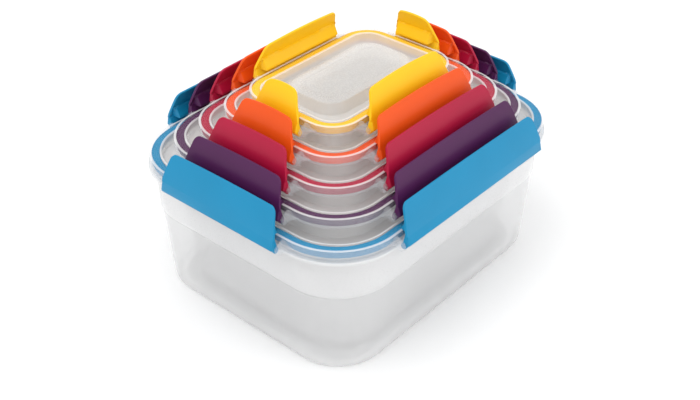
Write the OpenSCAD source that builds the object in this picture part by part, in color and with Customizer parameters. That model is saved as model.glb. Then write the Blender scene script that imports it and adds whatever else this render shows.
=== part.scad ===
// Nest of five snap lid food containers, stored one inside the other.
// The lids lie in a stepped stack on the largest container, with all their
// snap flaps swung up. Millimetres, +Z up, origin under the middle of the base.

/* [Set] */
// Length of the largest lid, without its flaps
lid_length = 230; // [220:1:240]
// Width of the largest lid, without its flaps
lid_width = 190; // [180:1:200]
// How far each smaller lid is set in from the one below, on every side
lid_inset = 13.3; // [13.3:0.1:14]
// Corner radius of the largest lid
lid_corner = 43; // [42:0.5:45]
// How much the corner radius falls from one size to the next
corner_step = 5.6; // [5.2:0.1:5.8]

/* [Containers] */
// Height of the largest container from base to lid rim
height_xl = 97.5; // [96.5:0.1:98.5]
// Height of the second container from base to lid rim
height_l = 74; // [73:0.1:75]
// Height of the middle container from base to lid rim
height_m = 61.6; // [60.6:0.1:62.6]
// Height of the fourth container from base to lid rim
height_s = 48.3; // [47.3:0.1:49.3]
// Height of the smallest container from base to lid rim
height_xs = 36; // [35:0.1:37]
// Thickness of container walls
wall = 1.6; // [1.4:0.1:1.7]
// Thickness of container floors
floor_thick = 1.8; // [1.6:0.1:2]
// Share of each container's height taken by the plain band under its rim
band_share = 0.38; // [0.34:0.01:0.4]
// Draft angle of the body under the band
draft = 4.3; // [3.5:0.1:4.5]

/* [Lids] */
// Thickness of lid panels
panel = 1.25; // [1.1:0.05:1.3]
// Depth of the moat inside the rim
moat_depth = 7.5; // [7.3:0.1:7.6]
// Height of the raised panel above the rim
raise = 1.7; // [1.5:0.1:1.9]

/* [Flaps] */
// Height of the flaps' free edge above the rim, swung up
flap_rise = 20; // [18:0.5:20.5]
// Radius of the hinge barrel
barrel_r = 2; // [1.9:0.05:2.1]
// Radius of the stub pins on the lid
pin_r = 1.1; // [1:0.05:1.15]
// Running clearance round a stub pin
pin_gap = 0.05; // [0.03:0.01:0.08]

/* [Hidden] */
$fn = 96;
SIZES = ["xl", "l", "m", "s", "xs"];
SIDES = ["front", "right", "back", "left"];
COLOURS = ["deepskyblue", "indigo", "crimson", "orangered", "gold"];

// Places of the nested pieces
nest_gap = 0.1;                            // air between stacked floors
nest_step = floor_thick + nest_gap;        // rise of each nested container
floor_under = -(moat_depth + panel);       // underside of a lid's moat
lid_pitch = raise - floor_under + 0.05;    // rise from one lid to the next
heights = [height_xl, height_l, height_m, height_s, height_xs];
rim_top = heights[0];                      // top of the largest lid's rim

// Lid section, in offsets in from the outline and heights from the rim top
skirt_thick = 1.4;
skirt_drop = 6.4;
seal_foot = -5.6;
web_thick = 1;                             // clear web over the seal
plug_face = 6.9;                           // outer face of the plug wall
rim_width = 8.2;                           // outline to moat
platform_inset = lid_inset + plug_face + 0.1;
label_inset = platform_inset + 6;          // shallow recess on the raised panel
label_depth = 0.4;
small_corner = 14;                         // least radius of a raised panel

// Container rim, in the same terms
lip_top = -5.8;
lip_offset = 3.2;
flange_out = 1;                            // flange stands out past the lid
flange_top = -7.6;
flange_under = -9.6;
band_offset = 3.3;
band_lean = 0.6;
band_step = 0.9;                           // step in under the band
base_fillet = 5;
foot_depth = 0.7;                          // hollow under the base
foot_width = 4;

// Hinge: outward distance and height from the rim top at the outline
hinge_out = 4.4;
hinge_drop = -6.9;
pin_length = 3.6;
bore_depth = 4;
lug_thick = 2.4;
lug_gap = 0.3;
long_margin = 3.4;                         // flap end to the start of a corner
short_margin = 5;
margin_step = 0.3;                         // less on each smaller size's short sides
shoulder = 0.6;                            // upper flap past the lower, each end
shoulder_height = 1.2;
flap_taper = 4.6;                           // each end, shoulder to free edge
taper_step = 0.3;                          // more on each smaller size
flap_corner = 4.4;

function len_of(k) = lid_length - 2 * k * lid_inset;
function wid_of(k) = lid_width - 2 * k * lid_inset;
function corner_of(k) = lid_corner - k * corner_step;
function platform_corner(k) = max(small_corner, corner_of(k + 1) - plug_face);
function rim_z(k) = rim_top + k * lid_pitch;
function straight_half(k, side) =
    (side % 2 == 0 ? len_of(k) : wid_of(k)) / 2 - corner_of(k);
function flap_half(k, side) = straight_half(k, side)
    - (side % 2 == 0 ? long_margin : short_margin - k * margin_step);

// Points of an arc from angle a to angle b, in n steps
function arc(cx, cy, r, a, b, n = 8) =
    [for (i = [0:n]) let (t = a + (b - a) * i / n) [cx + r * cos(t), cy + r * sin(t)]];

// Plain rounded rectangle, offset inwards, as a plate
module plate(k, inset, r, low, high) {
    l = len_of(k) - 2 * inset;
    w = wid_of(k) - 2 * inset;
    translate([0, 0, low]) linear_extrude(high - low) union() {
        square([l - 2 * r, w], center = true);
        square([l, w - 2 * r], center = true);
        for (x = [-1, 1], y = [-1, 1])
            translate([x * (l / 2 - r), y * (w / 2 - r)]) circle(r);
    }
}

// Sweeps a section round size k's outline. Its points are [offset inwards, height].
module ring(k, section) {
    r = corner_of(k);
    cx = len_of(k) / 2 - r;
    cy = wid_of(k) / 2 - r;
    outwards = [for (p = section) [r - p[0], p[1]]];
    for (q = [0:3]) {
        x = (q == 0 || q == 3) ? cx : -cx;
        y = q < 2 ? cy : -cy;
        translate([x, y, 0]) rotate([0, 0, 90 * q])
            rotate_extrude(angle = 90) polygon(outwards);
        run = q % 2 == 0 ? 2 * cy : 2 * cx;
        translate([q % 2 == 0 ? x : 0, q % 2 == 0 ? 0 : y, 0])
            rotate([0, 0, 90 * q]) translate([0, run / 2, 0])
            rotate([90, 0, 0]) linear_extrude(run) polygon(outwards);
    }
}

// ---------- containers ----------
module container(k) {
    h = heights[k];
    band_low = -band_share * h;
    body_top = band_low - 1.2;
    body_offset = band_offset + band_lean + band_step;
    fillet_top = base_fillet - h;
    base_offset = body_offset + (body_top - fillet_top) * tan(draft);
    inner_fillet = base_fillet - floor_thick;
    outside = concat(
        [[lip_offset, lip_top], [lip_offset, flange_top], [-flange_out, flange_top],
         [-flange_out, flange_under], [band_offset, flange_under],
         [band_offset + band_lean, band_low], [body_offset, body_top]],
        arc(base_offset + base_fillet, fillet_top, base_fillet, 180, 270, 6)
    );
    inside = concat(
        arc(base_offset + base_fillet + 0.2, fillet_top, inner_fillet + 0.2, 270, 180, 6),
        [[body_offset + wall, body_top], [band_offset + band_lean + wall, band_low + 1.2],
         [lip_offset + wall, flange_under], [lip_offset + wall, lip_top]]
    );
    base_inset = base_offset + base_fillet;
    color([0.93, 0.94, 0.95, 0.5]) translate([0, 0, k * nest_step + h]) difference() {
        union() {
            ring(k, concat(outside, inside));
            plate(k, base_inset - 0.4, corner_of(k) - base_inset + 0.4, -h, floor_thick - h);
        }
        plate(k, base_inset + foot_width, max(4, corner_of(k) - base_inset - foot_width),
              -h - 1, foot_depth - h);
    }
}

// ---------- lids ----------
module lid(k) {
    pr = platform_corner(k);
    color([0.9, 0.92, 0.94, 0.5]) translate([0, 0, rim_z(k)]) {
        difference() {
            union() {
                ring(k, [[0, -0.5], [0.5, 0], [rim_width - 0.4, 0], [rim_width, -0.4],
                         [rim_width, -moat_depth], [rim_width, floor_under],
                         [plug_face, floor_under], [plug_face, -web_thick],
                         [skirt_thick, -web_thick], [skirt_thick, -skirt_drop],
                         [0, -skirt_drop]]);
                plate(k, rim_width - 0.4, corner_of(k) - rim_width + 0.4,
                      floor_under, -moat_depth);
                plate(k, platform_inset, pr, floor_under, raise);
            }
            plate(k, platform_inset + panel, pr - panel, floor_under - 1, raise - panel);
            plate(k, label_inset, max(6, pr - 4), raise - label_depth, raise + 1);
        }
        for (side = [0:3]) at_side(k, side) lugs(flap_half(k, side));
    }
}

// Moves to the middle of one side of size k: +X outwards, +Y along the side
module at_side(k, side) {
    reach = side % 2 == 0 ? wid_of(k) / 2 : len_of(k) / 2;
    rotate([0, 0, 90 * side - 90]) translate([reach, 0, 0]) children();
}

// Lays a section of [outwards, height] points along the side, from y = low to high
module along_side(low, high) {
    translate([0, high, 0]) rotate([90, 0, 0]) linear_extrude(high - low) children();
}

// The two hinge lugs of a flap that reaches half to each side, with their stub pins
module lugs(half) {
    inner = half + lug_gap;
    for (end = [-1, 1]) {
        low = end > 0 ? inner : -inner - lug_thick;
        along_side(low, low + lug_thick) {
            polygon([[-1, -4.9], [-1, -0.8], [0.9, -0.8], [4.2, -2.2], [6.8, -5],
                     [hinge_out, hinge_drop], [1.2, -5.6]]);
            translate([hinge_out, hinge_drop]) circle(barrel_r + 0.6);
        }
        pin_low = end > 0 ? inner - pin_length : -inner - 0.5;
        along_side(pin_low, pin_low + pin_length + 0.5)
            translate([hinge_out, hinge_drop]) circle(pin_r);
    }
}

// ---------- seals ----------
module seal(k) {
    gap = 0.05;
    color(COLOURS[k]) translate([0, 0, rim_z(k)])
        ring(k, [[skirt_thick + gap, -web_thick - gap], [plug_face - gap, -web_thick - gap],
                 [plug_face - gap, seal_foot + 0.2], [5.5, seal_foot], [4.9, seal_foot + 0.6],
                 [3.2, seal_foot + 0.6], [2.6, seal_foot], [skirt_thick + gap, seal_foot + 0.2]]);
}

// ---------- flaps ----------
// Outer face of a swung-up flap: outward distance at a height, a shallow arc
function outer_face(z) =
    let (t = (z + 4.9) / (flap_rise + 4.9)) 8.9 - 8.6 * t + 3.2 * t * (1 - t);

module flap_lower_section() {
    faces = [for (i = [0:5]) let (z = -4.9 + (shoulder_height + 5.1) * i / 5) [outer_face(z), z]];
    web_top = shoulder_height + 0.4;
    polygon(concat([[7.1, -4.9]], faces,
        [[outer_face(web_top), web_top], [outer_face(web_top) - 2, web_top],
         [3.9, -3.4], [2.6, -6], [5.6, -8]]));
    translate([hinge_out, hinge_drop]) circle(barrel_r);
}

module flap_upper_section() {
    steps = 8;
    faces = [for (i = [0:steps])
        let (z = shoulder_height + (flap_rise - 0.6 - shoulder_height) * i / steps)
        [outer_face(z), z]];
    polygon(concat(faces,
        [[-0.1, flap_rise], [-1, flap_rise - 0.2], [-1.5, flap_rise - 0.8],
         [0.5, 14.6], [1.7, 11.4], [2.5, 9], [2.2, 7.6], [-0.5, 2],
         [-0.3, shoulder_height]]));
}

// Face-on outline of the upper flap: ends lean in, free edge arched, corners round
module flap_outline(half, sag, taper) {
    wide = half + shoulder;
    top = wide - taper;
    rise = flap_rise - sag;
    edge = (top * top + sag * sag) / (2 * sag);
    bow = asin((top - 4) / edge);
    polygon(concat(
        [[-wide, shoulder_height - 0.1], [wide, shoulder_height - 0.1], [wide, 3]],
        arc(top - flap_corner + 0.7, rise - flap_corner + 0.2, flap_corner, 8, 70, 6),
        arc(0, flap_rise - edge + 0.05, edge, 90 - bow, 90 + bow, 10),
        arc(-top + flap_corner - 0.7, rise - flap_corner + 0.2, flap_corner, 110, 172, 6),
        [[-wide, 3]]
    ));
}

module flap(k, side) {
    half = flap_half(k, side);
    sag = 0.5 + 0.25 * k;
    color(COLOURS[k]) translate([0, 0, rim_z(k)]) at_side(k, side) difference() {
        union() {
            along_side(-half, half) flap_lower_section();
            intersection() {
                along_side(-half - shoulder, half + shoulder) flap_upper_section();
                translate([-10, 0, 0]) rotate([90, 0, 90]) linear_extrude(30)
                    flap_outline(half, sag, flap_taper + k * taper_step);
            }
        }
        for (end = [-1, 1])
            along_side(end > 0 ? half - bore_depth : -half - 1,
                       end > 0 ? half + 1 : bore_depth - half)
                translate([hinge_out, hinge_drop]) circle(pin_r + pin_gap);
    }
}

for (k = [0:4]) {
    container(k);
    lid(k);
    seal(k);
    for (side = [0:3])
        flap(k, side);
}
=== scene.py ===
import math

import bmesh
import bpy
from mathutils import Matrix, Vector


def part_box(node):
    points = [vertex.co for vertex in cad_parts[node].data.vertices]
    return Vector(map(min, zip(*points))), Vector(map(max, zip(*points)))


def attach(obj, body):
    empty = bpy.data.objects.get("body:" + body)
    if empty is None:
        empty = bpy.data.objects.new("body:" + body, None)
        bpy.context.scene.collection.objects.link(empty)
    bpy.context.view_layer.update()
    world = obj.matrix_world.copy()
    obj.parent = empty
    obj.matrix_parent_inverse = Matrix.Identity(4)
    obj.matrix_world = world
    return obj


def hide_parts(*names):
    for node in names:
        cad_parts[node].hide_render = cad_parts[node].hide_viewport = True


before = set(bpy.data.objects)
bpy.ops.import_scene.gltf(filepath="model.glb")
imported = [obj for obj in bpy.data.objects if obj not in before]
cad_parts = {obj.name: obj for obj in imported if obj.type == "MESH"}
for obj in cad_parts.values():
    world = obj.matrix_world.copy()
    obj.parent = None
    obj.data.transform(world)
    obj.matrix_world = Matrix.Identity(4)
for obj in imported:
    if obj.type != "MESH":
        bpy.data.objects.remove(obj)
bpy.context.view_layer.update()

MM = 0.001

SIZES = ["xl", "l", "m", "s", "xs"]
SIDES = ["front", "right", "back", "left"]
HUES = ["blue", "purple", "red", "orange", "yellow"]
COLOURS = {                                     # linear colour of the mouldings
    "blue": (0.006, 0.250, 0.470),
    "purple": (0.080, 0.012, 0.078),
    "red": (0.440, 0.006, 0.045),
    "orange": (0.860, 0.092, 0.006),
    "yellow": (0.980, 0.580, 0.008),
}

# Sections, in millimetres: the same design as the CAD
CORNER, CORNER_STEP = 43.0, 5.6
WALL, FLOOR_THICK = 1.6, 1.8
PANEL, MOAT_DEPTH, RAISE = 1.25, 7.5, 1.7
SKIRT_THICK, SKIRT_DROP, WEB, PLUG_FACE, RIM_WIDTH = 1.4, 6.4, 1.0, 6.9, 8.2
FLOOR_UNDER = -(MOAT_DEPTH + PANEL)
LABEL_DEPTH, SMALL_CORNER = 0.4, 14.0
LIP_TOP, LIP_OFFSET, SEAL_FOOT = -5.8, 3.2, -5.6
FLANGE_OUT, FLANGE_TOP, FLANGE_UNDER = 1.0, -7.6, -9.6
BAND_OFFSET, BAND_LEAN, BAND_STEP, BAND_SHARE = 3.3, 0.6, 0.9, 0.38
DRAFT, BASE_FILLET, FOOT_DEPTH, FOOT_WIDTH = math.radians(4.3), 5.0, 0.7, 4.0
HINGE_OUT, HINGE_DROP, BARREL_R = 4.4, -6.9, 2.0
FLAP_RISE, SHOULDER, SHOULDER_Z, TAPER, TAPER_STEP = 20.0, 0.6, 1.2, 4.6, 0.3
LONG_MARGIN, SHORT_MARGIN, MARGIN_STEP, FLAP_CORNER = 3.4, 5.0, 0.3, 4.4
LUG_THICK, LUG_GAP, LUG_TAIL = 2.4, 0.3, 6.0
FLAP_FOOT, FLAP_EDGE_ROUND = -4.9, 0.7
WINDOW_FROM, WINDOW_TO = 1.7, 6.8               # clear strip of the rim over the seal
SEAL_AIR = 0.05
BAND_DROP = 1.2                                 # height of the step under a box's band
BOX_FLOOR_EDGE = 6                              # where a box's floor starts, past its foot
PLATFORM_FOOT_R, PLATFORM_TOP_R = 0.9, 0.8      # fillets of a lid's raised panel
LABEL_SLOPE, LABEL_ROUND, LABEL_EASE = 0.5, 0.15, 0.08
SMOOTH_ANGLE = 38                               # degrees, sharper edges stay sharp
LUG_SECTION = [(-0.6, -4.9), (-0.6, -0.9), (0.9, -0.8), (4.2, -2.2), (6.9, -5.0), (6.4, -8.2),
               (HINGE_OUT, -9.2), (2.4, -8.2), (1.2, -5.6)]
LUG_TIP = (-0.4, -4.0)                          # (outwards, up) that the tail runs to
LEDGE = [(1.2, -0.3), (1.5, -0.5), (2.2, -0.5), (7.4, 1.9), (8.6, 2.3)]    # (up, outwards)
FLAP_ROWS, MIDDLE_STEPS, END_STEPS, END_REACH = 26, 14, 30, 4

# Material slots of a lid, and the rings of its section where they change
# the milky slot carries a painted glow
SLOT_RIM, SLOT_MILKY, SLOT_WINDOW, SLOT_BORDER, SLOT_PANEL = range(5)
WEB_FROM, WEB_TO = 8, 14                        # after the underside
BORDER_FROM, WINDOW_RING, BORDER_TO = 8, 11, 17    # after the plug
# the raised panel takes the darker, unglowing copy of the milky plastic from here
PANEL_FROM = 7                                  # after the rim


def span(node, axis):
    """Size of a CAD node along an axis, in millimetres."""
    low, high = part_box(node)
    return (high[axis] - low[axis]) / MM


# Outline of the largest lid, step between sizes, and heights, from the frame
LENGTH = span("container_xl", 0) - 2 * FLANGE_OUT
WIDTH = span("container_xl", 1) - 2 * FLANGE_OUT
INSET = (span("container_xl", 0) - span("container_l", 0)) / 2
HEIGHTS = [span("container_" + size, 2) - LIP_TOP for size in SIZES]
RIM_Z = [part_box("seal_" + size)[1].z / MM + WEB + SEAL_AIR for size in SIZES]
BASE_Z = [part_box("container_" + size)[0].z / MM for size in SIZES]
PLATFORM_INSET = INSET + PLUG_FACE + 0.1
LABEL_INSET = PLATFORM_INSET + 6

# Camera and light
CAMERA_AT = Vector((-0.4787, -0.4147, 0.4851))
CAMERA_AZIMUTH, CAMERA_ELEVATION = -49.038, 35.007
LENS = 57.98
ARC_STEPS = 18                                  # points round each quarter corner


def corner_of(k):
    return CORNER - k * CORNER_STEP


# ---------- meshes ----------
def finish_mesh(bm, name, body, replaced, materials):
    """A bmesh in millimetres becomes a shaded object that rides on its body."""
    bmesh.ops.remove_doubles(bm, verts=bm.verts, dist=0.001)
    bmesh.ops.recalc_face_normals(bm, faces=bm.faces)
    bmesh.ops.scale(bm, vec=(MM, MM, MM), verts=bm.verts)
    mesh = bpy.data.meshes.new(name)
    bm.to_mesh(mesh)
    bm.free()
    for face in mesh.polygons:
        face.use_smooth = True
    mesh.set_sharp_from_angle(angle=math.radians(SMOOTH_ANGLE))
    obj = bpy.data.objects.new(name, mesh)
    bpy.context.collection.objects.link(obj)
    for material in materials:
        mesh.materials.append(material)
    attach(obj, body)
    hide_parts(*replaced)


def outline(k, inset, radius=None):
    """Points of size k's rounded rectangle, set in, anticlockwise."""
    r = max(0.4, corner_of(k) - inset if radius is None else radius)
    x = LENGTH / 2 - k * INSET - inset - r
    y = WIDTH / 2 - k * INSET - inset - r
    points = []
    for q, (cx, cy) in enumerate([(x, y), (-x, y), (-x, -y), (x, -y)]):
        for i in range(ARC_STEPS + 1):
            a = math.radians(90 * q + 90 * i / ARC_STEPS)
            points.append((cx + r * math.cos(a), cy + r * math.sin(a)))
    return points


def loft(k, rings, lift, closed=False, pick=None):
    """Skins a row of (inset, height[, radius]) rings. Ends are capped unless closed."""
    bm = bmesh.new()
    loops = [[bm.verts.new((x, y, ring[1] + lift)) for x, y in
              outline(k, ring[0], ring[2] if len(ring) > 2 else None)] for ring in rings]
    pairs = list(zip(loops, loops[1:])) + ([(loops[-1], loops[0])] if closed else [])
    for n, (low, high) in enumerate(pairs):
        for i in range(len(low)):
            j = (i + 1) % len(low)
            face = bm.faces.new((low[i], low[j], high[j], high[i]))
            face.material_index = pick(n) if pick else 0
    if not closed:
        bm.faces.new(loops[0])
        bm.faces.new(loops[-1])
    bm.faces.ensure_lookup_table()
    return bm


def fillet(a, b, c, r, steps=4):
    """Rounds the corner b of the path a, b, c in (inset, height) by about r."""
    a, b, c = Vector(a[:2]), Vector(b[:2]), Vector(c[:2])
    r = min(r, (a - b).length * 0.49, (c - b).length * 0.49)
    start, end = b + (a - b).normalized() * r, b + (c - b).normalized() * r
    path = []
    for i in range(steps + 1):
        t = i / steps
        path.append((start * (1 - t) ** 2 + b * 2 * t * (1 - t) + end * t * t)[:])
    return path


def rounded(path, radii, closed=False):
    """The path with its corners filleted; radii is one number or one per point."""
    n, out = len(path), []
    for i, point in enumerate(path):
        r = radii[i] if isinstance(radii, (list, tuple)) else radii
        if r == 0 or (not closed and i in (0, n - 1)):
            out.append(tuple(point[:2]))
        else:
            out += fillet(path[i - 1], point, path[(i + 1) % n], r)
    return out


def container(k, materials):
    h = HEIGHTS[k]
    band_low = -BAND_SHARE * h
    body_top = band_low - BAND_DROP
    body_offset = BAND_OFFSET + BAND_LEAN + BAND_STEP
    base_offset = body_offset + (body_top - BASE_FILLET + h) * math.tan(DRAFT)
    foot_in = base_offset + BASE_FILLET + FOOT_WIDTH
    path = [
        (foot_in + BOX_FLOOR_EDGE, FOOT_DEPTH - h), (foot_in, FOOT_DEPTH - h),
        (foot_in - 0.7, -h),
        (base_offset + 0.2, -h), (body_offset, body_top), (BAND_OFFSET + BAND_LEAN, band_low),
        (BAND_OFFSET, FLANGE_UNDER), (-FLANGE_OUT, FLANGE_UNDER), (-FLANGE_OUT, FLANGE_TOP),
        (LIP_OFFSET, FLANGE_TOP), (LIP_OFFSET, LIP_TOP), (LIP_OFFSET + WALL, LIP_TOP),
        (LIP_OFFSET + WALL, FLANGE_UNDER), (BAND_OFFSET + BAND_LEAN + WALL, band_low + BAND_DROP),
        (body_offset + WALL, body_top), (base_offset + WALL, FLOOR_THICK - h),
        (foot_in + BOX_FLOOR_EDGE, FLOOR_THICK - h),
    ]
    radii = [0, 0.4, 0.4, BASE_FILLET * 1.5, 1.6, 1.2, 0.5, 0.45, 0.45, 0.5, 0.6, 0.6,
             1.2, 1.2, 1.6, BASE_FILLET * 1.1, 0]
    section = rounded(path, radii)
    # faces of the band, which take the painted-shade copy of the body plastic
    shaded_band_rings = [n for n, (inset, z) in enumerate(section) if z > body_top + 0.6]
    bm = loft(k, section, BASE_Z[k] + h,
              pick=lambda n: 1 if n in shaded_band_rings and n + 1 in shaded_band_rings else 0)
    name = "container_" + SIZES[k]
    finish_mesh(bm, "Box_" + SIZES[k], name, [name], materials)


def lid(k, materials):
    pr = max(SMALL_CORNER, corner_of(k + 1) - PLUG_FACE)
    outer = rounded(
        [(SKIRT_THICK, -SKIRT_DROP), (0, -SKIRT_DROP), (0, 0), (WINDOW_FROM, 0), (WINDOW_TO, 0),
         (RIM_WIDTH, 0), (RIM_WIDTH, -MOAT_DEPTH), (RIM_WIDTH + 5, -MOAT_DEPTH)],
        [0, 0.4, 0.6, 0, 0, 0.6, 1.2, 0])
    wall_foot, wall_top = PLATFORM_FOOT_R, PLATFORM_TOP_R
    top = [(PLATFORM_INSET - wall_foot, -MOAT_DEPTH, pr + wall_foot)]
    for i in range(5):
        a = math.radians(90 * i / 4)
        top.append((PLATFORM_INSET - wall_foot * (1 - math.sin(a)),
                    -MOAT_DEPTH + wall_foot * (1 - math.cos(a)),
                    pr + wall_foot * (1 - math.sin(a))))
    for i in range(6):
        a = math.radians(90 * i / 5)
        inset = wall_top * (1 - math.cos(a))
        top.append((PLATFORM_INSET + inset, RAISE - wall_top + wall_top * math.sin(a), pr - inset))
    label_r = max(6, pr - 4)
    for away, z in [(-LABEL_SLOPE, RAISE), (-LABEL_ROUND, RAISE - LABEL_EASE),
                    (LABEL_ROUND, RAISE - LABEL_DEPTH + LABEL_EASE),
                    (LABEL_SLOPE, RAISE - LABEL_DEPTH)]:
        top.append((LABEL_INSET + away, z, label_r - away))
    inner = PLATFORM_INSET + PANEL
    under = [(inner + 2, RAISE - PANEL, pr - PANEL - 2),
             (inner + 0.4, RAISE - PANEL, pr - PANEL - 0.4),
             (inner, RAISE - PANEL - 0.4, pr - PANEL), (inner, FLOOR_UNDER + 0.4, pr - PANEL),
             (inner - 0.4, FLOOR_UNDER, pr - PANEL + 0.4), (PLUG_FACE + 4, FLOOR_UNDER)]
    plug = rounded([(PLUG_FACE + 3, FLOOR_UNDER), (PLUG_FACE, FLOOR_UNDER), (PLUG_FACE, -WEB),
                    (SKIRT_THICK, -WEB), (SKIRT_THICK, -SKIRT_DROP)], [0, 0.8, 0.25, 0.25, 0])
    rings = under + plug + outer + top
    web = len(under)
    rim = len(under) + len(plug)
    panel = rim + len(outer)

    def material_of(n):
        if web + WEB_FROM <= n < web + WEB_TO or n == rim + WINDOW_RING:
            return SLOT_WINDOW
        if web + WEB_TO <= n < rim + BORDER_FROM:
            return SLOT_RIM
        if rim + BORDER_FROM <= n < rim + BORDER_TO:
            return SLOT_BORDER
        return SLOT_PANEL if n >= panel + PANEL_FROM else SLOT_MILKY

    bm = loft(k, rings, RIM_Z[k], pick=material_of)
    for face in bm.faces[-2:]:
        face.material_index = SLOT_PANEL
    name = "lid_" + SIZES[k]
    for lug in range(4):
        add_lugs(bm, k, lug)
    finish_mesh(bm, "Lid_" + SIZES[k], name, [name], materials)


def side_frame(k, side):
    """(point in the side's frame: outwards, along, up) -> row frame, millimetres."""
    reach = (WIDTH if side % 2 == 0 else LENGTH) / 2 - k * INSET
    a = math.radians(90 * side - 90)
    out, along = (math.cos(a), math.sin(a)), (-math.sin(a), math.cos(a))
    z = RIM_Z[k]
    return lambda x, y, h: ((reach + x) * out[0] + y * along[0],
                            (reach + x) * out[1] + y * along[1], h + z)


def prism(bm, place, sections, material=0):
    """Skins equal-length (x, z) sections at their y stations, with both ends capped."""
    loops = [[bm.verts.new(place(x, y, z)) for x, z in section] for y, section in sections]
    faces = []
    for low, high in zip(loops, loops[1:]):
        for i in range(len(low)):
            j = (i + 1) % len(low)
            faces.append(bm.faces.new((low[i], low[j], high[j], high[i])))
    faces += [bm.faces.new(loops[0]), bm.faces.new(loops[-1])]
    for face in faces:
        face.material_index = material


def shrunk(section, amount):
    cx = sum(p[0] for p in section) / len(section)
    cz = sum(p[1] for p in section) / len(section)
    out = []
    for x, z in section:
        d = math.hypot(x - cx, z - cz)
        s = max(0.0, d - amount) / d if d else 1
        out.append((cx + (x - cx) * s, cz + (z - cz) * s))
    return out


def eased(section, low, high, ease=0.35):
    """Stations of a prism with rounded ends."""
    return [(low, shrunk(section, ease)), (low + 0.12, shrunk(section, ease * 0.4)),
            (low + ease, section), (high - ease, section),
            (high - 0.12, shrunk(section, ease * 0.4)), (high, shrunk(section, ease))]


def straight_half(k, side):
    return (WIDTH if side % 2 else LENGTH) / 2 - k * INSET - corner_of(k)


def flap_half(k, side):
    margin = SHORT_MARGIN - k * MARGIN_STEP if side % 2 else LONG_MARGIN
    return straight_half(k, side) - margin


def add_lugs(bm, k, side):
    """Clear hinge lugs: a wedge that runs out along the skirt towards the corner."""
    place = side_frame(k, side)
    inner = flap_half(k, side) + LUG_GAP
    lug = rounded(LUG_SECTION, 0.5, closed=True)
    r = corner_of(k)
    for end in (-1, 1):
        stations = []
        for along, size in [(0, 0.93), (0.15, 0.98), (0.4, 1), (LUG_THICK - 0.3, 1),
                            (LUG_THICK, 0.96), (LUG_THICK + 0.8, 0.6), (LUG_THICK + 2, 0.38),
                            (LUG_THICK + 4, 0.2), (LUG_THICK + LUG_TAIL, 0.06)]:
            past = max(0.0, inner + along - straight_half(k, side))
            drop = r - math.sqrt(r * r - past * past)
            stations.append((end * (inner + along),
                             [(LUG_TIP[0] + (x - LUG_TIP[0]) * size - drop,
                               LUG_TIP[1] + (z - LUG_TIP[1]) * size)
                              for x, z in lug]))
        prism(bm, place, stations, 0)


def outer_face(z):
    """How far out a flap's outer face stands at a height: leaning in, slightly bowed."""
    t = (z - FLAP_FOOT) / (FLAP_RISE - FLAP_FOOT)
    return 8.9 - 8.6 * t + 3.2 * t * (1 - t)


def inner_face(z, y, half):
    """Inner face: a ledge low down that stops short of the ends, a thin panel above."""
    from_end = half + SHOULDER - abs(y) - (TAPER * 0.25 if z < 8 else 0)
    thin = outer_face(z) - 1.7
    ledge = thin
    for (z0, x0), (z1, x1) in zip(LEDGE, LEDGE[1:]):
        if z <= z1:
            ledge = min(thin, x0 + (x1 - x0) * max(0.0, (z - z0) / (z1 - z0)))
            break
    fade = min(1.0, max(0.0, (from_end - 2.4) / 0.9))
    return thin * (1 - fade) + ledge * fade


def flap_top(y, half, sag, taper):
    """Height of the free edge: arched, with round corners and leaning ends."""
    wide = half + SHOULDER
    top = wide - taper
    y = abs(y)
    edge = FLAP_RISE - sag * min(1.0, y / top) ** 2
    r, turn = FLAP_CORNER, top - FLAP_CORNER + 0.9
    bend = turn + r * 0.97
    if y <= turn:
        return edge
    if y <= bend:
        return edge - r + math.sqrt(r * r - (y - turn) ** 2)
    foot = SHOULDER_Z + 1.0
    high = edge - r * (1 - math.sqrt(1 - 0.97 ** 2))
    return high + (foot - high) * (y - bend) / (wide - bend)


def flap(k, side, material):
    half = flap_half(k, side)
    wide = half + SHOULDER
    sag = 0.5 + 0.25 * k
    taper = TAPER + TAPER_STEP * k
    place = side_frame(k, side)
    bm = bmesh.new()
    middle = [i / MIDDLE_STEPS * (wide - taper - END_REACH) for i in range(MIDDLE_STEPS)]
    ends = [wide - (taper + END_REACH) * (1 - i / END_STEPS) for i in range(END_STEPS + 1)]
    right = middle + ends
    stations = [-y for y in reversed(right)] + right[1:]
    sections = []
    for y in stations:
        ztop = flap_top(y, half, sag, taper)
        zs = [SHOULDER_Z + (ztop - FLAP_EDGE_ROUND - SHOULDER_Z) * j / FLAP_ROWS
              for j in range(FLAP_ROWS + 1)]
        ease = 0.45 * max(0.0, 1 - (wide - abs(y)) / 0.5)
        outer = [(outer_face(z) - ease, z) for z in zs]
        xo, xi = outer[-1][0], inner_face(zs[-1], y, half) + ease
        cap = [((xo + xi) / 2 + (xo - xi) / 2 * math.cos(math.radians(a)),
                zs[-1] + FLAP_EDGE_ROUND * math.sin(math.radians(a)))
               for a in (25, 50, 75, 105, 130, 155)]
        inner = [(inner_face(z, y, half) + ease, z) for z in reversed(zs)]
        sections.append((y, outer + cap + inner))
    prism(bm, place, sections)
    barrel = [(HINGE_OUT + BARREL_R * math.cos(math.radians(a)),
               HINGE_DROP + BARREL_R * math.sin(math.radians(a)))
              for a in range(160, 330, 17)]
    web_top = SHOULDER_Z + 0.4
    face_foot = -4.6
    heights = [face_foot + (web_top - face_foot) * i / 5 for i in range(6)]
    lower = (barrel + [(8.3, -5.15), (8.75, -4.95)] + [(outer_face(z), z) for z in heights]
             + [(outer_face(web_top) - 2, web_top), (3.9, -3.4), (2.6, -5.6)])
    prism(bm, place, eased(lower, -half, half))
    name = f"flap_{SIZES[k]}_{SIDES[side]}"
    finish_mesh(bm, f"Flap_{SIZES[k]}_{SIDES[side]}", name, [name], [material])


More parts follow.
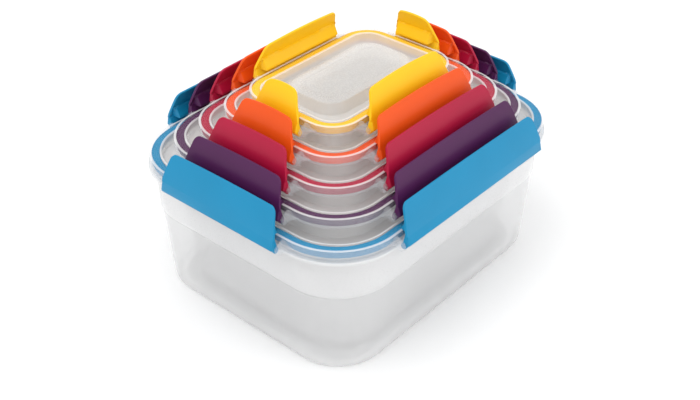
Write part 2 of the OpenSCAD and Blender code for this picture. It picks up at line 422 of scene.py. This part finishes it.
def seal(k, material):
    """The ring in a lid's rim channel, with a groove between two lips underneath."""
    a, b, top = SKIRT_THICK + SEAL_AIR, PLUG_FACE - SEAL_AIR, -WEB - SEAL_AIR
    section = rounded([(a, top), (b, top), (b, SEAL_FOOT + 0.2), (5.5, SEAL_FOOT),
                       (4.9, SEAL_FOOT + 0.6), (3.2, SEAL_FOOT + 0.6), (2.6, SEAL_FOOT),
                       (a, SEAL_FOOT + 0.2)], 0.3, closed=True)
    bm = loft(k, section, RIM_Z[k], closed=True)
    finish_mesh(bm, "Ring_" + SIZES[k], "lid_" + SIZES[k], ["seal_" + SIZES[k]],
                [material])


# ---------- materials ----------
def plastic(name, colour, rough, alpha=1.0, grain=900.0, bump=0.02, cloud=35.0, shift=0.06,
            coat=0.0, painted_glow=0.0, shine=0.5):
    """Moulded plastic: colour drifts softly, and a fine texture varies roughness and bump. An
    optional painted glow makes it give off light without a lamp.
    """
    m = bpy.data.materials.new(name)
    m.use_nodes = True
    nodes, links = m.node_tree.nodes, m.node_tree.links
    shader = nodes["Principled BSDF"]
    shader.inputs["Specular IOR Level"].default_value = shine
    shader.inputs["Coat Weight"].default_value = coat
    shader.inputs["Coat Roughness"].default_value = 0.12
    # painted glow: emission in the plastic's own colour, standing in for light carried within the
    # plastic
    shader.inputs["Emission Color"].default_value = (*colour, 1)
    shader.inputs["Emission Strength"].default_value = painted_glow
    where = nodes.new("ShaderNodeTexCoord")
    drift = nodes.new("ShaderNodeTexNoise")
    drift.inputs["Scale"].default_value = cloud
    drift.inputs["Detail"].default_value = 3
    links.new(where.outputs["Object"], drift.inputs["Vector"])
    ramp = nodes.new("ShaderNodeValToRGB")
    ramp.color_ramp.elements[0].position = 0.3
    ramp.color_ramp.elements[1].position = 0.7
    ramp.color_ramp.elements[0].color = (*[c * (1 - shift) for c in colour], 1)
    ramp.color_ramp.elements[1].color = (*[min(1, c * (1 + shift)) for c in colour], 1)
    links.new(drift.outputs["Fac"], ramp.inputs["Fac"])
    links.new(ramp.outputs["Color"], shader.inputs["Base Color"])
    fine = nodes.new("ShaderNodeTexNoise")
    fine.inputs["Scale"].default_value = grain
    fine.inputs["Detail"].default_value = 4
    links.new(where.outputs["Object"], fine.inputs["Vector"])
    spread = nodes.new("ShaderNodeMapRange")
    spread.inputs["To Min"].default_value = rough - 0.06
    spread.inputs["To Max"].default_value = rough + 0.08
    links.new(fine.outputs["Fac"], spread.inputs["Value"])
    links.new(spread.outputs["Result"], shader.inputs["Roughness"])
    relief = nodes.new("ShaderNodeBump")
    relief.inputs["Strength"].default_value = bump
    relief.inputs["Distance"].default_value = 0.0004
    links.new(fine.outputs["Fac"], relief.inputs["Height"])
    links.new(relief.outputs["Normal"], shader.inputs["Normal"])
    if alpha < 1:
        haze = nodes.new("ShaderNodeMapRange")
        haze.inputs["To Min"].default_value = alpha * 0.96
        haze.inputs["To Max"].default_value = alpha * 1.04
        links.new(drift.outputs["Fac"], haze.inputs["Value"])
        links.new(haze.outputs["Result"], shader.inputs["Alpha"])
    return m


BODY = plastic("Frosted_body", (0.97, 0.97, 0.975), 0.34, alpha=0.31, grain=1400,
               bump=0.05, cloud=18, shift=0.012)
# painted shade and highlight: the band is a real step in the wall, but its denser, greyer copy of
# the body plastic stands in for the shading and light at the step under the flange
SHADED_BAND = plastic("Frosted_band_painted_shade", (0.90, 0.90, 0.905), 0.28, alpha=0.52, grain=1400,
               bump=0.04, cloud=18, shift=0.012)
RIM = plastic("Clear_rim", (0.86, 0.87, 0.90), 0.16, alpha=0.17, grain=600,
              bump=0.01, shift=0.01, coat=0.2)
WINDOW = plastic("Clear_window", (0.95, 0.96, 0.97), 0.2, alpha=0.02, grain=600,
                 bump=0.01, shift=0.01, shine=0.15)
# painted glow: the milky lid gives off a little light of its own, which lightens its shaded walls
MILKY_GLOWING = plastic("Milky_lid_painted_glow", (0.90, 0.89, 0.88), 0.24, alpha=0.33, grain=900,
                bump=0.02, shift=0.015, coat=0.3, painted_glow=0.16)
# painted shade: the raised panel's top takes a darker copy of the milky lid plastic without its
# painted glow, toned down where the lamps light it from above
PANEL_TOP_DIMMED = plastic("Milky_panel_dimmed", (0.83, 0.82, 0.81), 0.26, alpha=0.40, grain=900,
                    bump=0.02, shift=0.015, coat=0.3)
BORDER = plastic("Clear_border", (0.92, 0.92, 0.93), 0.18, alpha=0.60, grain=600,
                 bump=0.01, shift=0.01, coat=0.3)
FLAPS = {hue: plastic("Flap_" + hue, COLOURS[hue], 0.36, grain=1600,
                      bump=0.05, shift=0.03, coat=0.05, shine=0.25) for hue in HUES}
SEALS = {hue: plastic("Seal_" + hue, COLOURS[hue], 0.5, grain=1200,
                      bump=0.04, shift=0.03, shine=0.25) for hue in HUES}

for k, hue in enumerate(HUES):
    container(k, [BODY, SHADED_BAND])
    lid(k, [RIM, MILKY_GLOWING, WINDOW, BORDER, PANEL_TOP_DIMMED])
    seal(k, SEALS[hue])
    for side in range(4):
        flap(k, side, FLAPS[hue])


# ---------- stage ----------
def studio_floor():
    bm = bmesh.new()
    bmesh.ops.create_grid(bm, x_segments=2, y_segments=2, size=6)
    mesh = bpy.data.meshes.new("Floor")
    bm.to_mesh(mesh)
    bm.free()
    floor = bpy.data.objects.new("Floor", mesh)
    bpy.context.collection.objects.link(floor)
    mesh.materials.append(plastic("Floor_white", (0.96, 0.96, 0.96), 0.8, grain=50,
                                  bump=0.0, shift=0.0))


def area_light(name, at, aim, size, watts):
    data = bpy.data.lights.new(name, "AREA")
    data.shape, data.size, data.energy = "DISK", size, watts
    lamp = bpy.data.objects.new(name, data)
    bpy.context.collection.objects.link(lamp)
    lamp.location = at
    lamp.rotation_euler = (Vector(aim) - Vector(at)).to_track_quat("-Z", "Y").to_euler()


def world_light(strength):
    world = bpy.data.worlds.new("Studio")
    bpy.context.scene.world = world
    world.use_nodes = True
    background = world.node_tree.nodes["Background"]
    background.inputs["Color"].default_value = (1, 1, 1, 1)
    background.inputs["Strength"].default_value = strength


def camera():
    data = bpy.data.cameras.new("Camera")
    data.lens, data.sensor_width = LENS, 36
    data.clip_start, data.clip_end = 0.01, 50
    cam = bpy.data.objects.new("Camera", data)
    bpy.context.collection.objects.link(cam)
    cam.location = CAMERA_AT
    cam.rotation_euler = (math.radians(90 - CAMERA_ELEVATION), 0, math.radians(CAMERA_AZIMUTH))
    bpy.context.scene.camera = cam


studio_floor()
world_light(0.97)
area_light("Key", (-0.5, 0.1, 1.4), (0, 0, 0.08), 0.9, 5)
area_light("Fill", (0.5, -1.2, 0.7), (0, 0, 0.06), 1.2, 3)
camera()
bpy.context.scene.view_settings.view_transform = "Standard"
